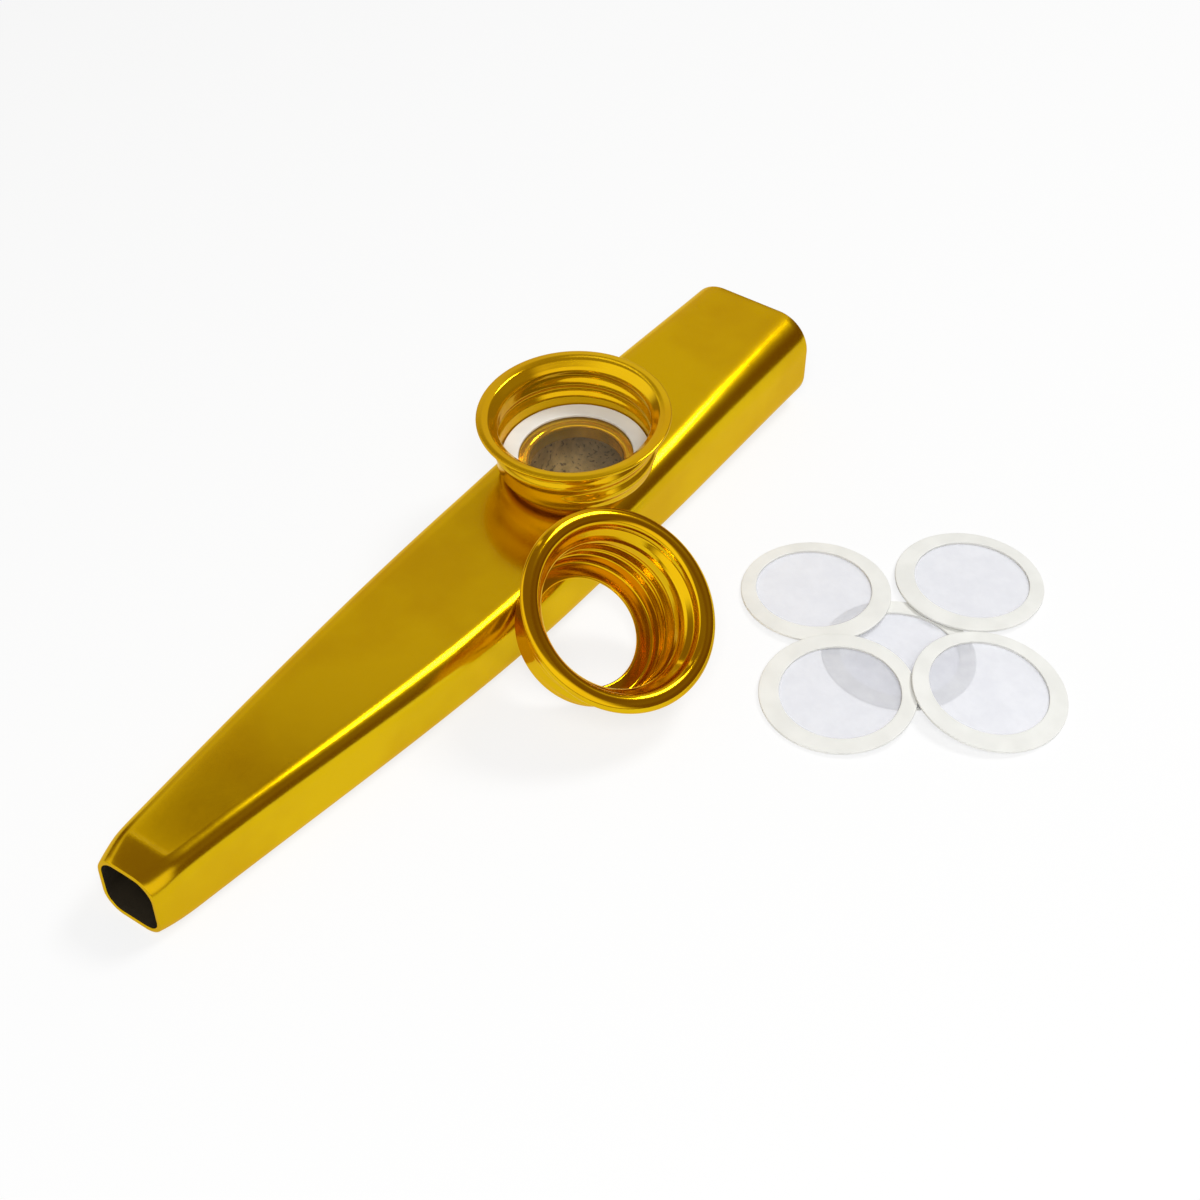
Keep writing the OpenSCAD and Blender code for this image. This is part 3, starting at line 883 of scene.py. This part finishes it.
# %% Where a packed disc lies
def disc_place(node):
    points = np.array([v.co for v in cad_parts[node].data.vertices])
    low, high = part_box(node)
    normal = Vector(np.linalg.svd(points - points.mean(0), full_matrices=False)[2][2])
    if normal.z < 0:
        normal.negate()
    turn = Vector((0, 0, 1)).rotation_difference(normal).to_matrix().to_4x4()
    return Matrix.Translation((low + high) / 2) @ turn


print("the fitted film's middle is at", np.round(disc_place("fitted_film").translation / MM, 2))

# %% [markdown]
# ## Profiles of ring and film
# The paper ring was punched, so its edges are a little soft. The film needs many
# rows from its middle outwards, because a ripple can only bend it where there
# are points.

# %% Profiles of ring and film
RING_R, WINDOW_R, PAPER = 9.4, 7.25, 0.35
FILM_R, FILM, FILM_BEVEL, FILM_ROWS = RING_R * 0.975, 0.08, 0.02, 26

ring_line = rounded(
    [
        (WINDOW_R, -PAPER / 2, 0.06),
        (RING_R, -PAPER / 2, 0.08),
        (RING_R, PAPER / 2, 0.12),
        (WINDOW_R, PAPER / 2, 0.1),
    ],
    longest=0.3,
)
film_radii = np.linspace(0, FILM_R - FILM_BEVEL, FILM_ROWS)
film_line = [Vector((r, FILM / 2)) for r in film_radii]
film_line += [Vector((FILM_R, FILM / 2 - FILM_BEVEL)), Vector((FILM_R, FILM_BEVEL - FILM / 2))]
film_line += [Vector((r, -FILM / 2)) for r in film_radii[::-1]]


def towards_window(p):
    return (RING_R - p.x) / (RING_R - WINDOW_R)


print("a ring's profile has", len(ring_line), "points and a film's", len(film_line))

# %% [markdown]
# ## Making the six membranes
# Six membranes repeat one shape, so a loop runs the turning tree for each.
# Punched by hand, each spare's window sits a little off centre, and each film has
# its own faint ripple. Over the throat the fitted film is all but invisible, and
# its colour is a warm painted reflection of the gold round it.

# %% Making the six membranes
paper = paper_finish("ring paper")
spare_clear = film_finish("clear film, spare", SPARE_ALPHA, *COOL_FILM)
# The fitted film's colours are a painted reflection of the gold round it.
fitted_clear = film_finish("clear film, fitted", FITTED_ALPHA, *PAINTED_GOLD_REFLECTION)
MEMBRANES = [
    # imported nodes' names, body, shift of the window in mm, film's finish
    ("fitted_{}", "membrane", (0.0, 0.0), fitted_clear),
    ("spare_{}_1", "kazoo", (0.1, 0.1), spare_clear),
    ("spare_{}_2", "spare_2", (-0.45, 0.25), spare_clear),
    ("spare_{}_3", "spare_3", (0.15, 0.4), spare_clear),
    ("spare_{}_4", "spare_4", (0.2, 0.2), spare_clear),
    ("spare_{}_5", "spare_5", (-0.3, 0.35), spare_clear),
]
for number, (node, body, shift, clear) in enumerate(MEMBRANES):
    ring_node, film_node = node.format("ring"), node.format("film")
    profile = profile_mesh(ring_node, ring_line, inner=towards_window)
    ring = turned_piece(
        "paper_" + ring_node, profile, disc_place(ring_node), paper,
        sides=180, window_shift=Vector((*shift, 0)) * MM,
    )
    finish_piece(ring, body, ring_node)
    film = turned_piece(
        "clear_" + film_node, profile_mesh(film_node, film_line), disc_place(film_node), clear,
        sides=120, ripple=0.03 * MM, seed=number * 0.01,
    )
    finish_piece(film, body, film_node)

# %% [markdown]
# ## The floor
# The ground in the photograph is plain white with a soft shadow. More light would
# make any floor white, but would bleach the gold too. So the floor mixes chalk,
# which takes the shadow, with a plain glow that only the camera, metal and clear
# things see.

# %% The floor
FLOOR_REACH, FLOOR_DROP, GLOW_SHARE = 4.0, 0.03 * MM, 0.75


def seen_rays(wire):
    """1 for rays from the camera and for what metal and clear things show, else 0."""
    ray = wire.tree.nodes.new("ShaderNodeLightPath")
    kinds = ("Is Camera Ray", "Is Glossy Ray", "Is Transmission Ray")
    camera_ray, glossy_ray, clear_ray = [Wire(wire.tree, ray.outputs[kind]) for kind in kinds]
    return camera_ray.maths("MAXIMUM", glossy_ray).maths("MAXIMUM", clear_ray)


corners = [(x * FLOOR_REACH, y * FLOOR_REACH, 0) for x, y in ((-1, -1), (1, -1), (1, 1), (-1, 1))]
floor_mesh = bpy.data.meshes.new("floor")
floor_mesh.from_pydata(corners, [], [(0, 1, 2, 3)])
floor_mesh.transform(Matrix.Translation((0, 0, -FLOOR_DROP)))
floor = object_of("floor", floor_mesh)
floor_material, w = empty_material("white ground")
chalk = w.node("ShaderNodeBsdfDiffuse", None, {"Color": (0.93, 0.93, 0.925, 1)})
glow = w.node("ShaderNodeEmission", None, {"Color": (1, 1, 1, 1), "Strength": 1})
share_of_glow = seen_rays(w) * GLOW_SHARE
put_shader(w, w.node("ShaderNodeMixShader", None, {0: share_of_glow, 1: chalk, 2: glow}))
floor_mesh.materials.append(floor_material)
print("the floor is", 2 * FLOOR_REACH, "m wide")

# %% [markdown]
# ## The camera
# The camera stands where the photographer's did. Its place, turn and lens come
# from fitting the outlines in the photograph, so they are written as the angles
# and lengths of that fit: round the part, up from the floor, and the camera's own
# roll. A Track To constraint could aim it, but would lose the roll.

# %% The camera
AZIMUTH, ELEVATION, ROLL_ANGLE = map(math.radians, (34.977, 42.973, 1.104))
TARGET, DISTANCE = Vector((10.306, -8.937, 0)) * MM, 243.1 * MM
FOCAL_PIXELS, PICTURE_PIXELS = 1942.785, 1200

back = Vector(
    (
        math.sin(AZIMUTH) * math.cos(ELEVATION),
        -math.cos(AZIMUTH) * math.cos(ELEVATION),
        math.sin(ELEVATION),
    )
)
right = Vector((math.cos(AZIMUTH), math.sin(AZIMUTH), 0))
up = back.cross(right)
right, up = (
    right * math.cos(ROLL_ANGLE) + up * math.sin(ROLL_ANGLE),
    up * math.cos(ROLL_ANGLE) - right * math.sin(ROLL_ANGLE),
)
lens = bpy.data.cameras.new("camera")
lens.sensor_width = 36
lens.lens = FOCAL_PIXELS / PICTURE_PIXELS * lens.sensor_width
lens.clip_start = 0.005
camera = object_of("camera", lens)
camera_turn = Matrix((right, up, back)).transposed().to_4x4()
camera.matrix_world = Matrix.Translation(TARGET + back * DISTANCE) @ camera_turn
bpy.context.scene.camera = camera
print("the lens is", round(lens.lens, 1), "mm on a sensor of", lens.sensor_width, "mm")

# %% [markdown]
# ## The white backdrop
# Behind the floor the picture is plain white too. Light Path tells the world
# which ray asks: the camera, metal and clear things see white, and all other rays
# find a grey that gives the matt pieces a low, even light.

# %% The white backdrop
SKY_GREY, SKY_WHITE = (0.24, 0.24, 0.24), (1, 1, 1)

world = bpy.data.worlds.new("studio")
bpy.context.scene.world = world
world.use_nodes = True
world.node_tree.nodes.clear()
w = Wire(world.node_tree)
sky = w.mix(seen_rays(w), SKY_GREY, SKY_WHITE)
background = w.node("ShaderNodeBackground", None, {"Color": sky, "Strength": 1})
world_out = world.node_tree.nodes.new("ShaderNodeOutputWorld")
world.node_tree.links.new(background.socket, world_out.inputs["Surface"])
world.cycles.sampling_method = "NONE"
print("the backdrop is white to the camera and", SKY_GREY[0], "grey to the matt pieces")

# %% [markdown]
# ## The walls of the room
# Polished metal shows its surroundings, so the room matters more than the lamps.
# The photograph's gold shows pale upper walls and left side, a dim lower part, a
# dim ceiling, right side and far side, a bright front by the camera, and a narrow
# bright strip overhead, which is the line of light along the tube's top. A
# photographed room could be wrapped round the scene, but soft steps on a dome are
# enough here. They are set on the dome's own X, Y and Z, from -1 to 1.

# %% The walls of the room
DOME = 2.5
WALL_DIM, WALL_PALE = (0.20, 0.11, 0.06), (0.76, 0.68, 0.58)
FRONT_PALE, STRIP = (1.2, 1.12, 0.96), (1.5, 1.4, 1.2)
CEILING_LOSS, SIDE_LOSS = 0.85, 0.9

dome_material, w = empty_material("studio walls")
x, y, z = [part / DOME for part in w.node("ShaderNodeTexCoord", output="Object").parts()]
left_pale = x.step(-0.55, -0.35, 1, 0) * y.step(0.24, 0.36)
wall = z.step(0.40, 0.52).maths("MAXIMUM", left_pale)
ceiling_dim = z.step(0.62, 0.74) * y.step(0.36, 0.54, 1, 0)
right_dim = x.step(0.36, 0.56) * y.step(-0.1, 0.1)
far_dim = x.step(-0.05, 0.15) * y.step(0.62, 0.70)
side_dim = right_dim.maths("MAXIMUM", far_dim)
light = wall * (1 - ceiling_dim * CEILING_LOSS) * (1 - side_dim * SIDE_LOSS)
front = y.step(-0.25, 0.05, 1, 0) * z.step(0, 0.2) * z.step(0.62, 0.78, 1, 0)
overhead = y.step(0.22, 0.24) * y.step(0.27, 0.29, 1, 0)
overhead = overhead * x.step(-0.3, -0.2, 1, 0) * z.step(0.6, 0.7)
colour = w.mix(front, w.mix(light, WALL_DIM, WALL_PALE), FRONT_PALE)
colour = w.mix(overhead, colour, STRIP)
put_shader(w, w.node("ShaderNodeEmission", None, {"Color": colour, "Strength": 1}))
dome_material.cycles.emission_sampling = "NONE"
print("the walls' material has", len(w.tree.nodes), "nodes")

# %% [markdown]
# ## The dome
# The walls are the material of a ball round the scene, 2.5 m in radius. It is
# hidden from the camera, from matt and clear things and from shadows. So only
# reflections see it, and it neither gives nor takes light elsewhere.

# %% The dome
dome_mesh = bpy.data.meshes.new("studio walls")
work = bmesh.new()
bmesh.ops.create_icosphere(work, subdivisions=4, radius=DOME)
work.to_mesh(dome_mesh)
work.free()
dome_mesh.materials.append(dome_material)
dome = object_of("studio_walls", dome_mesh)
dome.visible_camera = dome.visible_diffuse = dome.visible_transmission = dome.visible_shadow = False
print("the dome has", len(dome_mesh.polygons), "faces")

# %% [markdown]
# ## The two lamps
# A key lamp high behind makes the highlights and the soft shadow. A fill lamp by
# the camera reaches into the cup. It is kept out of reflections, so it lights
# only what is matt. Both are area lamps, because a small point would give the
# shadow a hard edge.

# %% The two lamps
LAMP_DISTANCE = 0.6


def soft_lamp(name, towards, size, watts):
    data = bpy.data.lights.new(name, "AREA")
    data.shape, data.size, data.size_y, data.energy = "RECTANGLE", size, size, watts
    lamp = object_of(name, data)
    towards = Vector(towards).normalized()
    turn = towards.to_track_quat("Z", "Y").to_matrix().to_4x4()
    lamp.matrix_world = Matrix.Translation(towards * LAMP_DISTANCE) @ turn
    lamp.visible_camera = False
    return lamp


key = soft_lamp("key_lamp", towards=(0.22, 0.50, 0.84), size=0.18, watts=1.5)
fill = soft_lamp("fill_lamp", towards=(0.40, -0.52, 0.76), size=0.24, watts=2.0)
fill.visible_glossy = False
print("the lamps give", key.data.energy, "and", fill.data.energy, "W")

# %% [markdown]
# ## The end
# The Standard view shows a colour about as it is written.

# %% View settings and the end
bpy.context.scene.view_settings.view_transform = "Standard"
